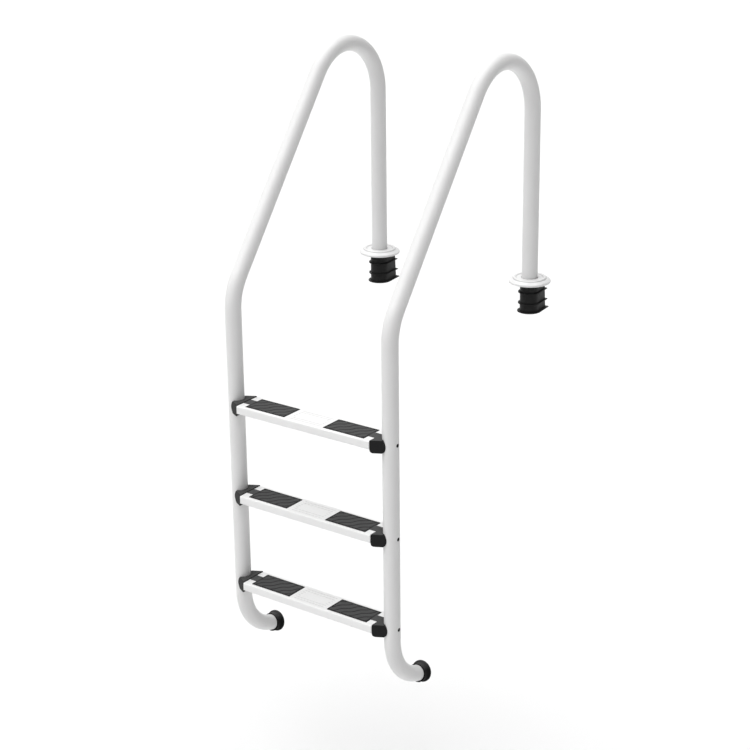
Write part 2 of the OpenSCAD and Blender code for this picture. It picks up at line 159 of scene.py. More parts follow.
def makeFinishes():
    made = {}

    coat = Finish("railCoat", Metallic=0.0, Specular_IOR_Level=0.3, Coat_Weight=0.1, Coat_Roughness=0.25)
    cloud = coat.noise(90, 2)
    peel = coat.noise(2.2, 2)
    grain = coat.noise(0.45, 2)
    scuffs = coat.ramp(coat.noise(1.3, 4, 0.7, coat.stretched((1, 1, 0.12))), 0.66, 0.74)
    rub = coat.ramp(coat.noise(38, 3), 0.52, 0.68) * scuffs
    clean = coat.blend(cloud, grey(0.71, 0.004), grey(0.755))
    coat.feed(
        Base_Color=coat.blend(rub * 0.5, clean, grey(0.57)),
        Roughness=0.40 + cloud * 0.08 + grain * 0.06 - rub * 0.08,
    ).bump(peel * 0.7 + grain * 0.25 - rub * 0.3, 0.022, 0.5)
    made["rails"] = coat.material

    white = Finish("stepCoat", Metallic=0.0, Coat_Weight=0.1, Coat_Roughness=0.35)
    cloud = white.noise(60, 2)
    drawn = white.noise(0.9, 3, 0.6, white.stretched((0.03, 1, 1)))
    grain = white.noise(0.5, 2)
    scuffs = white.ramp(white.noise(1.1, 4, 0.7, white.stretched((0.2, 1, 1))), 0.64, 0.72)
    worn = white.ramp(white.noise(30, 3), 0.5, 0.66) * scuffs
    # this mask gives the groove floors a darker grey: painted shade in the grooves
    paintedShade = white.attribute("paintedShade")
    clean = white.blend(cloud, grey(0.775, 0.003), grey(0.815))
    coatTone = white.blend(worn * 0.4, clean, grey(0.64))
    white.feed(
        Base_Color=white.blend(paintedShade * (0.75 + drawn * 0.25), coatTone, grey(0.46, 0.01)),
        Roughness=0.44 + grain * 0.08 + drawn * 0.06 - worn * 0.06,
    ).bump(drawn * 0.5 + grain * 0.4 - worn * 0.4, 0.03, 0.5)
    made["steps"] = white.material

    rubber = Finish("padRubber", Metallic=0.0, Specular_IOR_Level=0.2)
    grain = rubber.noise(0.35, 3, 0.7)
    cloud = rubber.noise(24, 3)
    dust = rubber.ramp(rubber.noise(2.4, 4, 0.7), 0.5, 0.75)
    # this mask is high on the rib crests and low in the grooves and on the pad's border, which it turns
    # near black: the rubber's own grey on the crests, painted shade in the grooves and round the border
    crestAndShade = rubber.attribute("crestAndShade")
    ribAndShadeTone = rubber.blend(crestAndShade, grey(0.010), rubber.blend(cloud, grey(0.056), grey(0.071, -0.01)))
    rubber.feed(
        Base_Color=rubber.blend(dust * crestAndShade * 0.3, ribAndShadeTone, grey(0.15)),
        Roughness=0.66 + grain * 0.16 + cloud * 0.06,
    ).bump(grain, 0.06, 0.7)
    made["pads"] = rubber.material

    moulded = Finish("capPlastic", Metallic=0.0, Specular_IOR_Level=0.07)
    # faces that look up get a lighter grey: a painted highlight on the cap's top faces
    paintedTopLight = moulded.ramp(moulded.attribute("upward"), 0.85, 0.99)
    erosion = moulded.spots(0.55)
    cloud = moulded.noise(18, 2)
    rub = moulded.ramp(moulded.noise(1.6, 4, 0.75), 0.62, 0.74)
    clean = moulded.blend(cloud, grey(0.013), grey(0.017, -0.02))
    capTone = moulded.blend(rub * 0.4, clean, grey(0.030))
    moulded.feed(
        Base_Color=moulded.blend(paintedTopLight * (0.8 + cloud * 0.2), capTone, grey(0.062)),
        Roughness=0.42 + cloud * 0.08 + erosion * 0.08 + paintedTopLight * 0.1,
    ).bump(erosion + moulded.noise(0.3, 2) * 0.5, 0.05, 0.6)
    made["caps"] = moulded.material

    dark = Finish("bumperRubber", Metallic=0.0, Specular_IOR_Level=0.07)
    grain = dark.noise(0.4, 3, 0.7)
    chalk = dark.ramp(dark.noise(5, 4, 0.7), 0.55, 0.75)
    # faces that look up get a lighter grey: a painted highlight on the bumper's upper side
    paintedTopLight = dark.ramp(dark.attribute("upward"), 0.45, 1.0)
    clean = dark.blend(chalk * 0.3, grey(0.005), grey(0.018))
    dark.feed(
        Base_Color=dark.blend(paintedTopLight * 0.9, clean, grey(0.06)),
        Roughness=0.5 + grain * 0.14 + chalk * 0.1,
    ).bump(grain, 0.05, 0.6)
    made["bumpers"] = dark.material

    gloss = Finish("rosetteCoat", Metallic=0.0, Coat_Weight=0.4, Coat_Roughness=0.12)
    cloud = gloss.noise(50, 2)
    grain = gloss.noise(0.5, 2)
    rub = gloss.ramp(gloss.noise(1.2, 4, 0.7), 0.64, 0.74) * gloss.ramp(gloss.noise(14, 2), 0.45, 0.65)
    # this mask darkens rings on the cover plate: painted shade under the raised ring and round the tube's
    # hole
    paintedShade = gloss.attribute("paintedShade")
    clean = gloss.blend(cloud, grey(0.71, 0.003), grey(0.75))
    glossTone = gloss.blend(rub * 0.4, clean, grey(0.62))
    gloss.feed(
        Base_Color=gloss.blend(paintedShade, glossTone, grey(0.17)),
        Roughness=0.30 + grain * 0.06 + cloud * 0.08,
    ).bump(gloss.noise(2.0, 2) + grain * 0.3, 0.02, 0.5)
    made["rosettes"] = gloss.material

    block = Finish("socketPlastic", Metallic=0.0, Specular_IOR_Level=0.1)
    flow = block.noise(3.0, 4, 0.6, block.stretched((1, 1, 0.25)))
    grain = block.spots(0.7)
    dust = block.ramp(block.noise(7, 4, 0.7), 0.5, 0.72)
    block.feed(
        Base_Color=block.blend(dust * 0.3, grey(0.014), grey(0.028)),
        Roughness=0.40 + flow * 0.14 + dust * 0.1,
    ).bump(grain * 0.7 + flow * 0.5, 0.06, 0.6)
    made["sockets"] = block.material

    plug = Finish("plugPlastic", Metallic=0.0, Specular_IOR_Level=0.1)
    grain = plug.noise(0.3, 2)
    plug.feed(
        Base_Color=plug.blend(plug.noise(4, 2), grey(0.006), grey(0.011)),
        Roughness=0.42 + grain * 0.12,
    ).bump(grain, 0.03, 0.5)
    made["plugs"] = plug.material

    steel = Finish("fastenerSteel", Metallic=1.0)
    lathed = steel.noise(0.25, 3, 0.6, steel.stretched((0.15, 0.15, 1)))
    cloud = steel.noise(6, 3)
    steel.feed(
        Base_Color=steel.blend(cloud, grey(0.52), grey(0.62, 0.01)),
        Roughness=0.26 + lathed * 0.16 + cloud * 0.06,
    ).bump(lathed, 0.02, 0.6)
    made["fasteners"] = steel.material

    brass = Finish("wedgeBrass", Metallic=1.0)
    sand = brass.noise(0.8, 4, 0.7)
    stain = brass.ramp(brass.noise(9, 4, 0.65), 0.42, 0.68)
    brass.feed(
        Base_Color=brass.blend(stain, (0.60, 0.46, 0.24, 1), (0.36, 0.26, 0.13, 1)),
        Roughness=0.36 + sand * 0.2 + stain * 0.12,
    ).bump(sand, 0.12, 0.6)
    made["wedges"] = brass.material

    paper = Finish("floorPaper", Metallic=0.0)
    fibre = paper.noise(6, 3)
    paper.feed(Base_Color=paper.blend(fibre, grey(0.80), grey(0.82)), Roughness=0.85 + fibre * 0.1)
    made["floor"] = paper.material
    return made


finishes = makeFinishes()
print("finishes made:", len(finishes))


# turning a bmesh in millimetres into a piece of the ladder

def finishPiece(bm, name, slotName, body, node, smoothAngle=35, edge=None):
    # edge is the rounding of the piece's sharp edges, where it has one
    bmesh.ops.remove_doubles(bm, verts=bm.verts, dist=0.0005)
    bmesh.ops.recalc_face_normals(bm, faces=bm.faces)
    bmesh.ops.scale(bm, vec=(mm, mm, mm), verts=bm.verts)
    bm.normal_update()
    upward = bm.verts.layers.float.new("upward")  # how far each point faces up, for the painted top light on the caps and bumpers
    for vert in bm.verts:
        vert[upward] = max(0.0, vert.normal.z)
    mesh = bpy.data.meshes.new(name)
    bm.to_mesh(mesh)
    bm.free()
    piece = bpy.data.objects.new(name, mesh)
    bpy.context.scene.collection.objects.link(piece)
    mesh.materials.append(finishes[slotName])
    for face in mesh.polygons:
        face.use_smooth = True
    mesh.set_sharp_from_angle(angle=math.radians(smoothAngle))
    if edge:
        bevel = piece.modifiers.new("edges", "BEVEL")
        bevel.width = edge * mm
        bevel.segments = 2
        bevel.limit_method = "ANGLE"
        bevel.angle_limit = math.radians(30)
        bevel.harden_normals = False
    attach(piece, body)
    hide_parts(node)


def looseMesh(bm, name):
    # a helper shape for cutting, gone before the end
    bmesh.ops.recalc_face_normals(bm, faces=bm.faces)
    mesh = bpy.data.meshes.new(name)
    bm.to_mesh(mesh)
    bm.free()
    helper = bpy.data.objects.new(name, mesh)
    bpy.context.scene.collection.objects.link(helper)
    return helper


def drop(*helpers):
    for helper in helpers:
        mesh = helper.data
        bpy.data.objects.remove(helper)
        bpy.data.meshes.remove(mesh)


def settled(helper):
    # the mesh of a helper with its modifiers in it, as a new bmesh
    bpy.context.view_layer.update()
    shown = helper.evaluated_get(bpy.context.evaluated_depsgraph_get())
    bm = bmesh.new()
    bm.from_mesh(shown.to_mesh())
    shown.to_mesh_clear()
    return bm


def join(bm, part):
    # adds the mesh of a separate part to bm
    mesh = bpy.data.meshes.new("joinedPart")
    part.to_mesh(mesh)
    part.free()
    bm.from_mesh(mesh)
    bpy.data.meshes.remove(mesh)


def vertsIn(geometry):
    return [g for g in geometry if isinstance(g, bmesh.types.BMVert)]


def edgesIn(geometry):
    return [g for g in geometry if isinstance(g, bmesh.types.BMEdge)]


def carve(bm, cutters, kind="DIFFERENCE"):
    base = looseMesh(bm, "carveBase")
    tools = [looseMesh(tool, "carveTool") for tool in cutters]
    for tool in tools:
        cut = base.modifiers.new("cut", "BOOLEAN")
        cut.operation = kind
        cut.solver = "EXACT"
        cut.object = tool
    result = settled(base)
    drop(base, *tools)
    return result


def rod(radius, low, high, axis="Z", place=(0, 0, 0), segments=64):
    bm = bmesh.new()
    bmesh.ops.create_cone(
        bm, cap_ends=True, segments=segments, radius1=radius, radius2=radius, depth=high - low,
    )
    bmesh.ops.translate(bm, verts=bm.verts, vec=(0, 0, (low + high) / 2))
    if axis == "X":
        bmesh.ops.rotate(bm, verts=bm.verts, matrix=Matrix.Rotation(math.pi / 2, 3, "Y"))
    if axis == "Y":
        bmesh.ops.rotate(bm, verts=bm.verts, matrix=Matrix.Rotation(-math.pi / 2, 3, "X"))
    bmesh.ops.translate(bm, verts=bm.verts, vec=place)
    return bm


def block(low, high):
    bm = bmesh.new()
    bmesh.ops.create_cube(bm, size=1)
    bmesh.ops.scale(bm, verts=bm.verts, vec=[high[i] - low[i] for i in range(3)])
    bmesh.ops.translate(bm, verts=bm.verts, vec=[(high[i] + low[i]) / 2 for i in range(3)])
    return bm


def outline(points, plane="XY"):
    # a flat face from its corners
    bm = bmesh.new()
    places = [(a, b, 0) if plane == "XY" else (0, a, b) for a, b in points]
    bm.faces.new([bm.verts.new(place) for place in places])
    return bm


def roundCorners(bm, radius, chosen, segments=6):
    # rounds the chosen corners of a flat face
    corners = [v for v in bm.verts if chosen(v.co)]
    bmesh.ops.bevel(
        bm, geom=corners, affect="VERTICES", offset=radius, offset_type="OFFSET",
        segments=segments, profile=0.5, material=-1,
    )


def roundEdges(bm, edges, radius, segments):
    bmesh.ops.bevel(
        bm, geom=edges, affect="EDGES", offset=radius, offset_type="OFFSET",
        segments=segments, profile=0.5, material=-1,
    )


def thicken(bm, vec, start=None):
    # pulls a flat face into a block
    if start:
        bmesh.ops.translate(bm, verts=bm.verts, vec=start)
    grown = bmesh.ops.extrude_face_region(bm, geom=bm.faces[:])
    bmesh.ops.translate(bm, verts=vertsIn(grown["geom"]), vec=vec)
    bmesh.ops.recalc_face_normals(bm, faces=bm.faces)
    return bm


def turned(points, segments=96, closed=False):
    # spins a profile of (radius, height) about the Z axis
    bm = bmesh.new()
    verts = [bm.verts.new((r, 0, z)) for r, z in points]
    edges = [bm.edges.new(pair) for pair in zip(verts, verts[1:])]
    if closed:
        edges.append(bm.edges.new((verts[-1], verts[0])))
    bmesh.ops.spin(
        bm, geom=verts + edges, cent=(0, 0, 0), axis=(0, 0, 1),
        angle=2 * math.pi, steps=segments, use_merge=True,
    )
    bmesh.ops.remove_doubles(bm, verts=bm.verts, dist=0.001)
    bmesh.ops.recalc_face_normals(bm, faces=bm.faces)
    return bm


def softenRings(bm, radius, minAngle, segments=3):
    # rounds the ring edges of a turned shape
    bm.normal_update()
    level = [e for e in bm.edges if abs(e.verts[0].co.z - e.verts[1].co.z) < 0.001]
    inside = [e for e in level if len(e.link_faces) == 2]
    sharp = [e for e in inside if math.degrees(e.calc_face_angle()) > minAngle]
    bmesh.ops.bevel(
        bm, geom=sharp, affect="EDGES", offset=radius, offset_type="OFFSET",
        segments=segments, profile=0.5, material=-1, clamp_overlap=True,
    )


def facesWhere(bm, test):
    return [f for f in bm.faces if test(f.calc_center_median(), f.normal)]


def sink(bm, faces, vec):
    # pushes a patch of faces along vec, with walls round it
    moved = bmesh.ops.extrude_face_region(bm, geom=faces)
    bmesh.ops.delete(bm, geom=faces, context="FACES")
    bmesh.ops.translate(bm, verts=vertsIn(moved["geom"]), vec=vec)


def cutAcross(bm, axis, positions):
    # new edge loops where planes square to an axis meet the mesh
    normal = Vector([1 if i == axis else 0 for i in range(3)])
    for position in positions:
        geometry = bm.verts[:] + bm.edges[:] + bm.faces[:]
        bmesh.ops.bisect_plane(bm, geom=geometry, dist=0.0001, plane_co=normal * position, plane_no=normal)


# where things are, in millimetres, from the frame

def boxOf(node):
    low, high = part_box(node)
    return [c / mm for c in low], [c / mm for c in high]


tubeLow, tubeHigh = boxOf("rail_right")
tube = {
    "radius": 21.5,
    "wall": 1.5,
    "centre": (tubeLow[0] + tubeHigh[0]) / 2,
}
stepTop = {name: boxOf(name + "_step")[1][2] for name in stepNames}
stepLow, stepHigh = boxOf("top_step")
stepY = (stepLow[1] + stepHigh[1]) / 2

print("tube centre", tube["centre"], "steps at", stepTop)


# rails

rail = {
    "bend": 148.0,
    "deckLeg": 467.0,
    "topTurn": 143.7,
    "reach": 640.0,
    "footBend": -804.7,
    "footTurn": 80.6,
    "footRun": 1.0,
    "ringSegments": 72,
    "stepAngle": 2.5,
    "headHole": 5.2,
    "shankHole": 3.3,
    "screwDrop": 12.0,
    "holeReach": 30.0,
    "endLift": 4.3,
}
legDepth = -boxOf("deck_socket_right")[0][2] - rail["endLift"]  # how far the deck legs reach below the deck


def alongFoot(run):
    # a straight run at the end of the rail's foot
    turn = math.radians(rail["footTurn"])
    return (0, run * math.sin(turn), -run * math.cos(turn))


def railPath(bm, ring):
    # carries a ring of edges along the tube's centre line
    bend = rail["bend"]
    state = {"edges": ring}

    def ahead(vec):
        made = bmesh.ops.extrude_edge_only(bm, edges=state["edges"])["geom"]
        bmesh.ops.translate(bm, verts=vertsIn(made), vec=vec)
        state["edges"] = edgesIn(made)

    def swing(centre, degrees):
        made = bmesh.ops.spin(
            bm, geom=state["edges"], cent=centre, axis=(1, 0, 0), angle=math.radians(degrees),
            steps=int(degrees / rail["stepAngle"]), use_merge=False,
        )
        state["edges"] = edgesIn(made["geom_last"])

    slope = math.radians(180 - rail["topTurn"])
    topEndY = -bend - bend * math.cos(slope)
    topEndZ = rail["deckLeg"] + bend * math.sin(slope)
    tangent = bend * math.tan(slope / 2)
    run = (rail["reach"] + topEndY) / math.sin(slope) - tangent
    kneeZ = topEndZ - (run + tangent) * math.cos(slope) - tangent
    ahead((0, 0, rail["deckLeg"] + legDepth))
    swing((0, -bend, rail["deckLeg"]), rail["topTurn"])
    ahead((0, -run * math.sin(slope), -run * math.cos(slope)))
    swing((0, bend - rail["reach"], kneeZ), 180 - rail["topTurn"])
    ahead((0, 0, rail["footBend"] - kneeZ))
    swing((0, bend - rail["reach"], rail["footBend"]), rail["footTurn"])
    ahead(alongFoot(rail["footRun"]))


def makeRail(side, sign):
    bm = bmesh.new()
    made = bmesh.ops.create_circle(bm, cap_ends=False, segments=rail["ringSegments"], radius=tube["radius"])
    bmesh.ops.translate(bm, verts=made["verts"], vec=(0, 0, -legDepth))
    railPath(bm, bm.edges[:])
    bmesh.ops.recalc_face_normals(bm, faces=bm.faces)
    helper = looseMesh(bm, "railShell")
    wall = helper.modifiers.new("wall", "SOLIDIFY")
    wall.thickness = tube["wall"]
    wall.offset = -1
    wall.use_even_offset = True
    bm = settled(helper)
    drop(helper)
    cutters = []
    reach = rail["holeReach"]
    outer, inner = ((0, reach), (-reach, 0)) if sign > 0 else ((-reach, 0), (0, reach))
    for name in stepNames:
        spot = (0, stepY, stepTop[name] - rail["screwDrop"])
        cutters.append(rod(rail["headHole"], *outer, axis="X", place=spot, segments=32))
        cutters.append(rod(rail["shankHole"], *inner, axis="X", place=spot, segments=24))
    bm = carve(bm, cutters)
    bmesh.ops.translate(bm, verts=bm.verts, vec=(sign * tube["centre"], 0, 0))
    finishPiece(bm, "railTube" + side.capitalize(), "rails", "ladder", "rail_" + side, smoothAngle=40)


for side, sign in sides.items():
    makeRail(side, sign)
print("rails made")


# steps

step = {
    "length": 428.0,
    "depth": 86.0,
    "height": 22.0,
    "topEdge": 3.0,
    "bottomEdge": 2.0,
    "wall": 2.5,
    "webY": 17.0,
    "endFromRail": 36.0,
    "padStart": 58.4,
    "padEnd": 187.4,
    "padHalf": 34.0,
    "tailHalf": 14.5,
    "padGap": 0.3,
    "recess": 1.4,
    "panelHalfLength": 50.0,
    "panelHalfDepth": 30.0,
    "grooves": 7,
    "grooveWidth": 1.8,
    "grooveDepth": 0.8,
    "bareHalfLength": 42.0,
    "bareHalfDepth": 11.0,
    "pocket": 70.0,
    "edge": 0.25,
}


def makeStep(name):
    half = step["length"] / 2
    deep = step["depth"] / 2
    bm = block((-half, -deep, -step["height"]), (half, deep, 0))
    lengthwise = [e for e in bm.edges if abs(e.verts[0].co.x - e.verts[1].co.x) > 1]
    topEdges = [e for e in lengthwise if e.verts[0].co.z > -1]
    bottomEdges = [e for e in lengthwise if e.verts[0].co.z < -1]
    roundEdges(bm, topEdges, step["topEdge"], 6)
    roundEdges(bm, bottomEdges, step["bottomEdge"], 5)
    gap = step["padGap"]
    padIn = tube["centre"] - step["padEnd"] - gap
    padOut = tube["centre"] - step["padStart"] + gap
    across = (padIn, padOut, step["panelHalfLength"], step["bareHalfLength"])
    cutAcross(bm, 0, [sign * x for sign in (-1, 1) for x in across])
    padDeep = step["padHalf"] + gap
    tailDeep = step["tailHalf"] + gap
    pitch = (2 * step["panelHalfDepth"] - step["grooveWidth"]) / (step["grooves"] - 1)
    grooveLines = []
    for i in range(step["grooves"]):
        y = -step["panelHalfDepth"] + i * pitch
        grooveLines += [y, y + step["grooveWidth"]]
    inner = step["webY"] - step["wall"] / 2
    outer = step["webY"] + step["wall"] / 2
    wallIn = deep - step["wall"]
    wallLines = [sign * y for sign in (-1, 1) for y in (padDeep, tailDeep, inner, outer, wallIn)]
    cutAcross(bm, 1, sorted(set(wallLines + grooveLines)))
    topWall = step["wall"] + step["recess"]
    cutAcross(bm, 2, [-topWall, step["wall"] - step["height"]])
    bm.normal_update()

    def top(c, n):
        return n.z > 0.9 and c.z > -0.01

    def inPad(c):
        x = abs(c.x)
        return (padIn < x < padOut and abs(c.y) < padDeep) or (x > padOut and abs(c.y) < tailDeep)

    def inGroove(c):
        if abs(c.x) > step["panelHalfLength"] or abs(c.y) > step["panelHalfDepth"]:
            return False
        if abs(c.x) < step["bareHalfLength"] and abs(c.y) < step["bareHalfDepth"]:
            return False
        return (c.y + step["panelHalfDepth"]) % pitch < step["grooveWidth"]

    def hollow(c, n):
        y = abs(c.y)
        between = y < inner or outer < y < wallIn
        return abs(n.x) > 0.9 and between and step["wall"] - step["height"] < c.z < -topWall

    sink(bm, facesWhere(bm, lambda c, n: top(c, n) and inPad(c)), (0, 0, -step["recess"]))
    sink(bm, facesWhere(bm, lambda c, n: top(c, n) and inGroove(c)), (0, 0, -step["grooveDepth"]))
    bm.normal_update()
    for sign in (-1, 1):
        ends = facesWhere(bm, lambda c, n: hollow(c, n) and c.x * sign > half - 1)
        sink(bm, ends, (-sign * step["pocket"], 0, 0))
    # the groove floors get 1 here and come out darker grey: painted shade in the grooves
    paintedShade = bm.verts.layers.float.new("paintedShade")
    for vert in bm.verts:
        vert[paintedShade] = 1.0 if abs(vert.co.z + step["grooveDepth"]) < 0.01 else 0.0
    bmesh.ops.translate(bm, verts=bm.verts, vec=(0, stepY, stepTop[name]))
    bmesh.ops.dissolve_limit(bm, angle_limit=math.radians(0.5), verts=bm.verts, edges=bm.edges)
    title = "stepBody" + name.capitalize()
    finishPiece(bm, title, "steps", "ladder", name + "_step", smoothAngle=30, edge=step["edge"])


for name in stepNames:
    makeStep(name)
print("steps made")


# grip pads with wavy ribs

pad = {
    "thickness": 2.2,
    "proud": 0.8,
    "border": 4.0,
    "cornerRadius": 2.0,
    "ribPitch": 20.0,
    "ribGrooves": ((0.0, 2.4, 1.0), (7.6, 0.8, 0.6), (13.6, 0.8, 0.6)),
    "ribFlank": 1.0,
    "ribHeight": 0.75,
    "fieldDrop": 0.45,
    "waveLength": 44.0,
    "wave": 2.2,
    "ribAngle": 49.0,
    "cell": 0.8,
    "edge": 0.5,
    "flatEdge": 0.4,
    "fade": 1.0,
    "clearance": 0.02,
    # the border's colour value, near black: painted shade round the pad
    "rimShade": 0.05,
    "tailTone": 0.92,
}


def ribProfile(across):
    # 1 on a rib, less in a groove; each pitch has one wide groove and two narrow ones
    lowest = 1.0
    for place, halfWidth, deep in pad["ribGrooves"]:
        away = abs((across - place + pad["ribPitch"] / 2) % pad["ribPitch"] - pad["ribPitch"] / 2)
        slope = min(1.0, max(0.0, (away - halfWidth) / pad["ribFlank"] + 0.5))
        lowest = min(lowest, 1 - deep * (1 - slope))
    return lowest


def makePad(name, side, sign):
    start = tube["centre"] - step["padStart"]
    end = tube["centre"] - step["padEnd"]
    tail = tube["centre"] - step["endFromRail"]
    deep = step["padHalf"]
    narrow = step["tailHalf"]
    bm = outline([
        (end, -deep), (start, -deep), (start, -narrow), (tail, -narrow),
        (tail, narrow), (start, narrow), (start, deep), (end, deep),
    ])
    roundCorners(bm, pad["cornerRadius"], lambda c: abs(c.x - tail) > 1)
    thicken(bm, (0, 0, pad["thickness"]), start=(0, 0, pad["proud"] - pad["thickness"]))
    bm.normal_update()
    upper = [e for e in bm.edges if all(v.co.z > pad["proud"] - 0.01 for v in e.verts)]
    roundEdges(bm, [e for e in upper if e.calc_face_angle() > 1], pad["edge"], 3)
    bm.normal_update()
    # the ribbed field, sunk inside the border
    border = pad["border"]
    lowX, highX = end + border, start - border
    lowY, highY = -deep + border, deep - border
    field = block((lowX, lowY, pad["proud"] - pad["fieldDrop"]), (highX, highY, pad["proud"] + 5))
    bm = carve(bm, [field])
    # the border gets a low value, near black in the finish: painted shade round the pad; the tail gets a
    # value near the crests'
    rimShadeLayer = bm.verts.layers.float.new("crestAndShade")
    for vert in bm.verts:
        vert[rimShadeLayer] = pad["tailTone"] if abs(vert.co.y) < narrow + 1 else pad["rimShade"]
    grid = bmesh.new()
    crestAndShadeLayer = grid.verts.layers.float.new("crestAndShade")
    columns = int((highX - lowX) / pad["cell"])
    rows = int((highY - lowY) / pad["cell"])
    bmesh.ops.create_grid(grid, x_segments=columns, y_segments=rows, size=0.5)
    clearance = pad["clearance"]
    level = pad["proud"] - pad["fieldDrop"] + clearance
    bmesh.ops.scale(grid, verts=grid.verts, vec=(highX - lowX - clearance, highY - lowY - clearance, 1))
    bmesh.ops.translate(grid, verts=grid.verts, vec=((lowX + highX) / 2, (lowY + highY) / 2, level))
    turn = math.radians(pad["ribAngle"])
    for vert in grid.verts:
        across = vert.co.x * math.sin(turn) - vert.co.y * math.cos(turn)
        along = vert.co.x * math.cos(turn) + vert.co.y * math.sin(turn)
        across += pad["wave"] * math.sin(2 * math.pi * along / pad["waveLength"])
        edge = min(vert.co.x - lowX, highX - vert.co.x, vert.co.y - lowY, highY - vert.co.y)
        fade = min(1.0, max(0.0, (edge - pad["flatEdge"]) / pad["fade"]))
        # the same value raises the ribs and colours them, near black in the grooves: painted shade between
        # the ribs
        crestAndShade = ribProfile(across) * fade
        vert.co.z += pad["ribHeight"] * crestAndShade
        vert[crestAndShadeLayer] = crestAndShade
    join(bm, grid)
    if sign < 0:
        bmesh.ops.rotate(bm, verts=bm.verts, matrix=Matrix.Rotation(math.pi, 3, "Z"))
    bmesh.ops.translate(bm, verts=bm.verts, vec=(0, stepY, stepTop[name]))
    title = "gripPad" + name.capitalize() + side.capitalize()
    finishPiece(bm, title, "pads", "ladder", name + "_step_pad_" + side, smoothAngle=50)


for name in stepNames:
    for side, sign in sides.items():
        makePad(name, side, sign)
print("grip pads made")


# end caps that cup the tube

cap = {
    "rise": 2.5,
    "drop": 32.0,
    "halfDepth": 42.0,
    "reach": 36.0,
    "corner": 1.5,
    "footRadius": 9.0,
    "armRoot": 2.0,
    "armHalf": 23.5,
    "tipRadius": 22.0,
    "cutGap": 0.1,
    "voxel": 0.7,
    "smoothing": 10,
    "plugLength": 20.0,
    "plugGap": 0.2,
    "plugEdge": 1.5,
    "overlap": 2.0,
}


def makeCap(name, side, sign):
    half, reach, root, arm = (cap[k] for k in ("halfDepth", "reach", "armRoot", "armHalf"))
    past = half + 5  # the cutters run past the cap
    bm = outline([(0, -arm), (root, -arm), (reach, -half), (reach, half), (root, arm), (0, arm)])
    roundCorners(bm, cap["corner"], lambda c: c.x > reach - 1, segments=3)
    thicken(bm, (0, 0, cap["rise"] + cap["drop"]), start=(0, 0, -cap["drop"]))
    middle = (cap["rise"] - cap["drop"]) / 2
    tip = cap["tipRadius"]
    face = rod(tip, -past, past, axis="Y", place=(tip, 0, middle), segments=96)
    bar = block((tip, -past, -cap["drop"] - 1), (reach + 1, past, cap["rise"] + 1))
    shape = carve(face, [bar], "UNION")
    bm = carve(bm, [shape], "INTERSECT")
    foot = cap["footRadius"]
    corner = block((reach - foot, -past, -cap["drop"] - 1), (reach + 1, past, foot - cap["drop"]))
    heel = (reach - foot, 0, foot - cap["drop"])
    corner = carve(corner, [rod(foot, -past - 1, past + 1, axis="Y", place=heel)])
    bm = carve(bm, [corner])
    helper = looseMesh(bm, "capBlock")
    remesh = helper.modifiers.new("remesh", "REMESH")
    remesh.mode = "VOXEL"
    remesh.voxel_size = cap["voxel"]
    smooth = helper.modifiers.new("smooth", "SMOOTH")
    smooth.factor = 0.5
    smooth.iterations = cap["smoothing"]
    bm = settled(helper)
    drop(helper)
    tall = 2 * (cap["rise"] + cap["drop"])
    bm = carve(bm, [rod(tube["radius"] + cap["cutGap"], -tall, tall, segments=96)])
    plugs = bmesh.new()
    topWall = step["wall"] + step["recess"]
    gap = cap["plugGap"]
    low = step["wall"] - step["height"] + gap
    high = -topWall - gap
    inner = step["webY"] - step["wall"] / 2
    outer = step["webY"] + step["wall"] / 2
    wallIn = step["depth"] / 2 - step["wall"]
    for y0, y1 in ((-wallIn, -outer), (-inner, inner), (outer, wallIn)):
        plug = block((reach - cap["overlap"], y0 + gap, low), (reach + cap["plugLength"], y1 - gap, high))
        tipEdges = [e for e in plug.edges if all(v.co.x > reach for v in e.verts)]
        roundEdges(plug, tipEdges, cap["plugEdge"], 2)
        join(plugs, plug)
    bm = carve(bm, [plugs], "UNION")
    bmesh.ops.scale(bm, verts=bm.verts, vec=(-sign, 1, 1))
    bmesh.ops.translate(bm, verts=bm.verts, vec=(sign * tube["centre"], stepY, stepTop[name]))
    title = "endCap" + name.capitalize() + side.capitalize()
    finishPiece(bm, title, "caps", "ladder", name + "_step_cap_" + side, smoothAngle=50)


for name in stepNames:
    for side, sign in sides.items():
        makeCap(name, side, sign)
print("end caps made")


# plugs over the screw holes

screwPlug = {
    "radius": 5.1,
    "proud": 0.4,
    "depth": 3.5,
    "shoulder": 0.7,
    "crown": ((0, 0), (1.5, 0), (3, 0), (4.2, -0.08), (4.8, -0.3)),
}


def makeScrewPlugs():
    bm = bmesh.new()
    reach = tube["radius"] + screwPlug["proud"]
    radius, depth, shoulder = (screwPlug[k] for k in ("radius", "depth", "shoulder"))
    profile = list(screwPlug["crown"]) + [(radius, -shoulder), (radius, -depth), (0, -depth)]
    for name in stepNames:
        for sign in sides.values():
            part = turned(profile, segments=32)
            bmesh.ops.rotate(part, verts=part.verts, matrix=Matrix.Rotation(math.pi / 2, 3, "Y"))
            for vert in part.verts:  # the outer side follows the tube's curve
                outside = vert.co.x > -1
                vert.co.x += math.sqrt(reach ** 2 - vert.co.y ** 2) if outside else reach
            bmesh.ops.scale(part, verts=part.verts, vec=(sign, 1, 1))
            spot = (sign * tube["centre"], stepY, stepTop[name] - rail["screwDrop"])
            bmesh.ops.translate(part, verts=part.verts, vec=spot)
            join(bm, part)
    finishPiece(bm, "screwHolePlugs", "plugs", "ladder", "screw_hole_plugs")


makeScrewPlugs()


# foot bumpers

bumper = {
    "radius": 29.5,
    "lipRadius": 25.5,
    "length": 25.0,
    "groove": 1.2,
    "pad": 9.0,
    "gap": 0.05,
    "lip": 3.0,
    "rim": 5.0,
    "flare": 5.0,
    "lipEdge": 0.8,
    "rimEdge": 1.6,
    "faceInset": 6.0,
    "faceDrop": 0.8,
    "edge": 0.5,
}


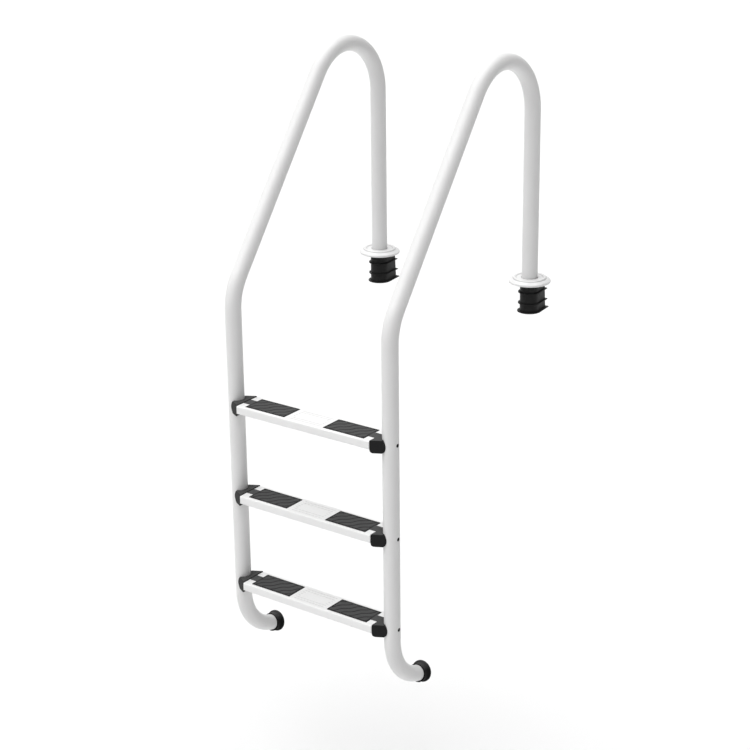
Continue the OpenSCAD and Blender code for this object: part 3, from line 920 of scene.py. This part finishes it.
def footRod(radius, over):
    # a solid bent rod that follows the tube's foot, to hollow the bumper with
    bm = bmesh.new()
    made = bmesh.ops.create_circle(bm, cap_ends=False, segments=rail["ringSegments"], radius=radius)
    hinge = (0, rail["bend"] - rail["reach"], rail["footBend"])
    bmesh.ops.translate(bm, verts=made["verts"], vec=(0, -rail["reach"], rail["footBend"]))
    spun = bmesh.ops.spin(
        bm, geom=bm.edges[:], cent=hinge, axis=(1, 0, 0), angle=math.radians(rail["footTurn"]),
        steps=int(rail["footTurn"] / rail["stepAngle"]),
    )
    grown = bmesh.ops.extrude_edge_only(bm, edges=edgesIn(spun["geom_last"]))
    bmesh.ops.translate(bm, verts=vertsIn(grown["geom"]), vec=alongFoot(rail["footRun"] + over))
    bmesh.ops.holes_fill(bm, edges=[e for e in bm.edges if e.is_boundary])
    return bm


def makeBumper(side, sign):
    radius, lipRadius, length = (bumper[k] for k in ("radius", "lipRadius", "length"))
    lip, rim, flare = (bumper[k] for k in ("lip", "rim", "flare"))
    groove, lipEdge, rimEdge, drop = (bumper[k] for k in ("groove", "lipEdge", "rimEdge", "faceDrop"))
    neck = lipRadius - groove
    face = radius - bumper["faceInset"]
    bm = turned([
        (0, 0), (lipRadius - lipEdge, 0), (lipRadius, lipEdge), (lipRadius, lip - lipEdge),
        (neck, lip + groove), (neck, length - rim - flare),
        (radius, length - rim), (radius, length - rimEdge), (radius - rimEdge, length),
        (face, length), (face - 1, length - drop), (0, length - drop),
    ])
    softenRings(bm, bumper["edge"], minAngle=20)
    foot = math.radians(rail["footTurn"])
    run = alongFoot(rail["footRun"])
    endY = rail["bend"] * (1 - math.cos(foot)) - rail["reach"] + run[1]
    endZ = rail["footBend"] - rail["bend"] * math.sin(foot) + run[2]
    bmesh.ops.translate(bm, verts=bm.verts, vec=(0, 0, bumper["pad"] + bumper["gap"] - length))
    bmesh.ops.rotate(bm, verts=bm.verts, matrix=Matrix.Rotation(math.pi + foot, 3, "X"))
    bmesh.ops.translate(bm, verts=bm.verts, vec=(0, endY, endZ))
    bm = carve(bm, [footRod(tube["radius"] + bumper["gap"], bumper["gap"])])
    bmesh.ops.translate(bm, verts=bm.verts, vec=(sign * tube["centre"], 0, 0))
    finishPiece(bm, "footBumper" + side.capitalize(), "bumpers", "ladder", "foot_bumper_" + side)


# rosettes

rosette = {
    "radius": 57.0,
    "ring": 44.5,
    "height": 14.8,
    "rim": 7.0,
    "wall": 2.2,
    "hole": 21.8,
    "ringWidth": 8.0,
    "ringRise": 3.4,
    "wellDrop": 2.0,
    "collar": 8.0,
    "edge": 0.45,
}


def makeRosette(side, sign):
    r, ring, h, rim, w, hole = (rosette[k] for k in ("radius", "ring", "height", "rim", "wall", "hole"))
    inner = ring - rosette["ringWidth"]
    shoulder = h - rosette["ringRise"]
    well = h - rosette["wellDrop"]
    slope = (shoulder - rim) / (r - 2 - ring - 0.8)
    bm = turned([
        # the outside, from the rim over the ring and down into the well
        (r - 2, 0), (r - 0.6, 0.8), (r, rim / 2), (r - 0.6, rim - 1.4), (r - 2, rim),
        (ring + 2, shoulder - 1.2 * slope), (ring + 0.8, shoulder), (ring, h - 1.2), (ring - 1.4, h),
        (inner + 2.2, h), (inner + 0.9, h - 1), (inner, well), (inner - 1.2, well), (hole + 1.8, well),
        # the hole, and the inside a wall further in
        (hole + 0.6, well), (hole, well - 0.6), (hole, rosette["collar"]), (hole + w, rosette["collar"]),
        (hole + w, well - w), (inner + 1.6, well - w), (inner + 2.6, h - w), (ring - w, h - w),
        (ring - w + 0.8, shoulder - w), (r - w - 2, rim - w), (r - w - 0.5, rim / 2), (r - w - 2, 0),
    ], segments=128, closed=True)
    # the rings at the raised ring's foot, the well's edge and the hole's edge get a darker colour: painted
    # shade under the ring and round the tube's hole
    paintedShade = bm.verts.layers.float.new("paintedShade")
    shadeRings = ((ring + 0.8, shoulder, 0.6), (inner, well, 0.7), (hole + 0.6, well, 1), (hole, well - 0.6, 1))
    for vert in bm.verts:
        across = vert.co.xy.length
        for radius, height, amount in shadeRings:
            if abs(across - radius) < 0.01 and abs(vert.co.z - height) < 0.01:
                vert[paintedShade] = amount
    softenRings(bm, rosette["edge"], minAngle=18)
    bmesh.ops.translate(bm, verts=bm.verts, vec=(sign * tube["centre"], 0, 0))
    title = "coverPlate" + side.capitalize()
    finishPiece(bm, title, "rosettes", "rosette_" + side, "rosette_" + side, smoothAngle=50)


# deck sockets

socket = {
    "height": 82.0,
    "bore": 21.8,
    "wall": 3.7,
    "back": 46.0,
    "lean": 5.0,
    "backWall": 3.5,
    "stop": 4.0,
    "plate": 4.0,
    "taper": 7.0,
    "ribDrops": (26.5, 57.0),
    "ribOut": 5.0,
    "ribThick": 2.0,
    "flangeOut": 7.0,
    "pocketWidth": 22.6,
    "screwY": 32.15,
    "screwHole": 3.3,
    "cornerRound": 1.5,
    "ribRound": 1.2,
    "edge": 0.4,
}


def backAt(z):
    return socket["back"] - z * math.tan(math.radians(socket["lean"]))


def socketSlice(out, low, high):
    # a slab of the socket's outer shape, grown by out, with its back leaning
    r = socket["bore"] + socket["wall"] + out
    taper = math.radians(socket["taper"])
    sideX, sideY = r * math.cos(taper), r * math.sin(taper)

    def halfAt(y):
        return sideX - (y - sideY) * math.tan(taper)

    bm = bmesh.new()
    first = bm.verts.new((-sideX, sideY, low))
    arc = bmesh.ops.spin(
        bm, geom=[first], cent=(0, 0, low), axis=(0, 0, 1), angle=math.pi + 2 * taper, steps=44,
    )
    last = vertsIn(arc["geom_last"])[0]
    back = backAt(low) + out
    cornerA = bm.verts.new((halfAt(back), back, low))
    cornerB = bm.verts.new((-halfAt(back), back, low))
    bm.edges.new((last, cornerA))
    bm.edges.new((cornerA, cornerB))
    bm.edges.new((cornerB, first))
    bmesh.ops.contextual_create(bm, geom=bm.edges[:])
    grown = bmesh.ops.extrude_face_region(bm, geom=bm.faces[:])
    upper = vertsIn(grown["geom"])
    bmesh.ops.translate(bm, verts=upper, vec=(0, 0, high - low))
    for vert in upper:
        if vert.co.y > back - 1:
            vert.co.y = backAt(high) + out
            vert.co.x = math.copysign(halfAt(vert.co.y), vert.co.x)
    bmesh.ops.recalc_face_normals(bm, faces=bm.faces)
    return bm


def roundBack(bm, radius, segments):
    # rounds the two upright corners at the back of a slab
    bm.normal_update()
    rear = [e for e in bm.edges if all(v.co.y > socket["bore"] for v in e.verts)]
    roundEdges(bm, [e for e in rear if abs(e.verts[0].co.z - e.verts[1].co.z) > 1], radius, segments)


def makeSocket(side, sign):
    h = socket["height"]
    bm = socketSlice(0, -h, 0)
    roundBack(bm, socket["cornerRound"], 4)
    thick = socket["ribThick"]
    slabs = [socketSlice(socket["ribOut"], -drop - thick, -drop) for drop in socket["ribDrops"]]
    slabs.append(socketSlice(socket["flangeOut"], -h, thick - h))
    for slab in slabs:
        roundBack(slab, socket["ribRound"], 3)
    bm = carve(bm, slabs, "UNION")
    below, above = -h - 1, 5  # the cutters run past the socket
    plate, wide = socket["plate"], socket["pocketWidth"]
    pocket = outline([
        (0, below), (backAt(below) - socket["backWall"], below),
        (backAt(-plate) - socket["backWall"], -plate), (0, -plate),
    ], "YZ")
    thicken(pocket, (wide, 0, 0), start=(-wide / 2, 0, 0))
    bm = carve(bm, [
        rod(socket["bore"], socket["stop"] - h, above, segments=96),
        rod(tube["radius"] - tube["wall"] - 2, below, above, segments=96),
        pocket,
        rod(socket["screwHole"], -plate - 2, above, place=(0, socket["screwY"], 0), segments=32),
    ])
    bmesh.ops.translate(bm, verts=bm.verts, vec=(sign * tube["centre"], 0, 0))
    title = "deckSocket" + side.capitalize()
    finishPiece(bm, title, "sockets", "deck_sockets", "deck_socket_" + side, edge=socket["edge"])


# clamp screws and washers

clamp = {
    "shank": 3.0,
    "head": 5.0,
    "headHeight": 6.0,
    "length": 62.0,
    "washer": 5.5,
    "washerThick": 1.6,
    "washerHole": 3.3,
    "washerEdge": 0.2,
    "threadLength": 36.0,
    "pitch": 1.0,
    "knurls": 30,
    "knurlShare": 0.95,
    "collarShare": 0.94,
    "lowCollar": 0.8,
    "highCollar": 0.9,
    "key": 2.887,
    "tip": 0.6,
    "threadDepth": 0.45,
    "intoHead": 0.5,
}


def makeClampScrew(side, sign):
    shank, length, pitch = clamp["shank"], clamp["length"], clamp["pitch"]
    thread = []
    z = -length + clamp["tip"]
    while z < clamp["threadLength"] - length:
        thread += [(shank, z), (shank - clamp["threadDepth"], z + pitch / 2)]
        z += pitch
    lower = [(0, -length), (shank - clamp["tip"], -length)]
    upper = [(shank, z), (shank, clamp["intoHead"]), (0, clamp["intoHead"])]
    stem = turned(lower + thread + upper, segments=32)
    tall = clamp["headHeight"]
    head = rod(clamp["head"], 0, tall, segments=clamp["knurls"] * 2)
    cutAcross(head, 2, [clamp["lowCollar"], tall - clamp["highCollar"]])
    for vert in head.verts:
        spoke = int(round(math.degrees(math.atan2(vert.co.y, vert.co.x)) / (180 / clamp["knurls"])))
        if clamp["lowCollar"] - 0.1 < vert.co.z < tall - clamp["highCollar"] + 0.1:
            if spoke % 2:
                vert.co.xy *= clamp["knurlShare"]
        else:
            vert.co.xy *= clamp["collarShare"]
    key = rod(clamp["key"], tall / 2, tall + 2, segments=6)
    head = carve(carve(head, [key]), [stem], "UNION")
    spot = (sign * tube["centre"], socket["screwY"], clamp["washerThick"])
    bmesh.ops.translate(head, verts=head.verts, vec=spot)
    name = "clamp_screw_" + side
    finishPiece(head, "clampScrew" + side.capitalize(), "fasteners", name, name, smoothAngle=30)


def makeWashers():
    bm = bmesh.new()
    hole, radius, thick = clamp["washerHole"], clamp["washer"], clamp["washerThick"]
    for sign in sides.values():
        part = turned([(hole, 0), (radius, 0), (radius, thick), (hole, thick)], segments=48, closed=True)
        softenRings(part, clamp["washerEdge"], minAngle=40, segments=2)
        bmesh.ops.translate(part, verts=part.verts, vec=(sign * tube["centre"], socket["screwY"], 0))
        join(bm, part)
    finishPiece(bm, "clampWashers", "fasteners", "deck_sockets", "clamp_washers")


for side, sign in sides.items():
    makeBumper(side, sign)
    makeRosette(side, sign)
    makeSocket(side, sign)
    makeClampScrew(side, sign)
makeWashers()
print("bumpers, rosettes, sockets and clamps made")


# CAD nodes that show as they are get their finish

kept = {
    "step_screws": "fasteners",
    "step_nuts": "fasteners",
    "clamp_wedge_left": "wedges",
    "clamp_wedge_right": "wedges",
}
for node, slotName in kept.items():
    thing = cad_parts[node]
    thing.data.materials.clear()
    thing.data.materials.append(finishes[slotName])


# studio

studio = {
    "floorDrop": 0.35,
    "floorSize": 60.0,
    "skyLight": 1.0,
    "topLight": 1.28,
    "topFrom": (-0.15, -0.20, 1.0),
    "frontLight": 0.15,
    "frontFrom": (-0.45, -1.0, 0.35),
    "softness": 80.0,
    "lampAway": 3.0,
}
lowest, highest = Vector(cadBox[0]), Vector(cadBox[1])
centre = (lowest + highest) / 2

floorMesh = bmesh.new()
bmesh.ops.create_grid(floorMesh, x_segments=1, y_segments=1, size=studio["floorSize"] / 2)
bmesh.ops.translate(floorMesh, verts=floorMesh.verts, vec=(0, 0, lowest.z - studio["floorDrop"]))
floor = looseMesh(floorMesh, "studioFloor")
floor.data.materials.append(finishes["floor"])

world = bpy.data.worlds.new("softWorld")
world.use_nodes = True
background = next(n for n in world.node_tree.nodes if n.type == "BACKGROUND")
background.inputs["Color"].default_value = (1, 1, 1, 1)
background.inputs["Strength"].default_value = studio["skyLight"]
bpy.context.scene.world = world
world.cycles_visibility.diffuse = False  # the sky shows in reflections, and the lamps light the ladder
bpy.context.scene.view_settings.view_transform = "Standard"


def softLamp(name, fromWhere, brightness):
    # a broad lamp far away, so the floor is evenly white
    lamp = bpy.data.lights.new(name, "SUN")
    lamp.energy = brightness * math.pi
    lamp.angle = math.radians(studio["softness"])
    holder = bpy.data.objects.new(name, lamp)
    bpy.context.scene.collection.objects.link(holder)
    holder.location = centre + Vector(fromWhere) * studio["lampAway"]
    holder.rotation_euler = (-Vector(fromWhere)).to_track_quat("-Z", "Y").to_euler()


softLamp("topLamp", studio["topFrom"], studio["topLight"])
softLamp("frontLamp", studio["frontFrom"], studio["frontLight"])


# camera

shot = {
    "azimuth": 36.62,
    "elevation": 20.03,
    "roll": -0.67,
    "lens": 88.99,
    "sensor": 36.0,
    "offset": (2.7596, -3.7673, 1.6494),
}


def makeCamera():
    azimuth, elevation, roll = (math.radians(shot[k]) for k in ("azimuth", "elevation", "roll"))
    right = Vector((math.cos(azimuth), math.sin(azimuth), 0))
    level = Vector((-math.sin(azimuth), math.cos(azimuth), 0))
    ahead = level * math.cos(elevation) - Vector((0, 0, math.sin(elevation)))
    up = right.cross(ahead)
    tiltedRight = right * math.cos(roll) + up * math.sin(roll)
    tiltedUp = up * math.cos(roll) - right * math.sin(roll)
    data = bpy.data.cameras.new("shotCamera")
    data.lens = shot["lens"]
    data.sensor_width = shot["sensor"]
    camera = bpy.data.objects.new("shotCamera", data)
    bpy.context.scene.collection.objects.link(camera)
    turn = Matrix((tiltedRight, tiltedUp, -ahead)).transposed().to_4x4()
    camera.matrix_world = Matrix.Translation(centre + Vector(shot["offset"])) @ turn
    bpy.context.scene.camera = camera


makeCamera()
print("studio and camera set")
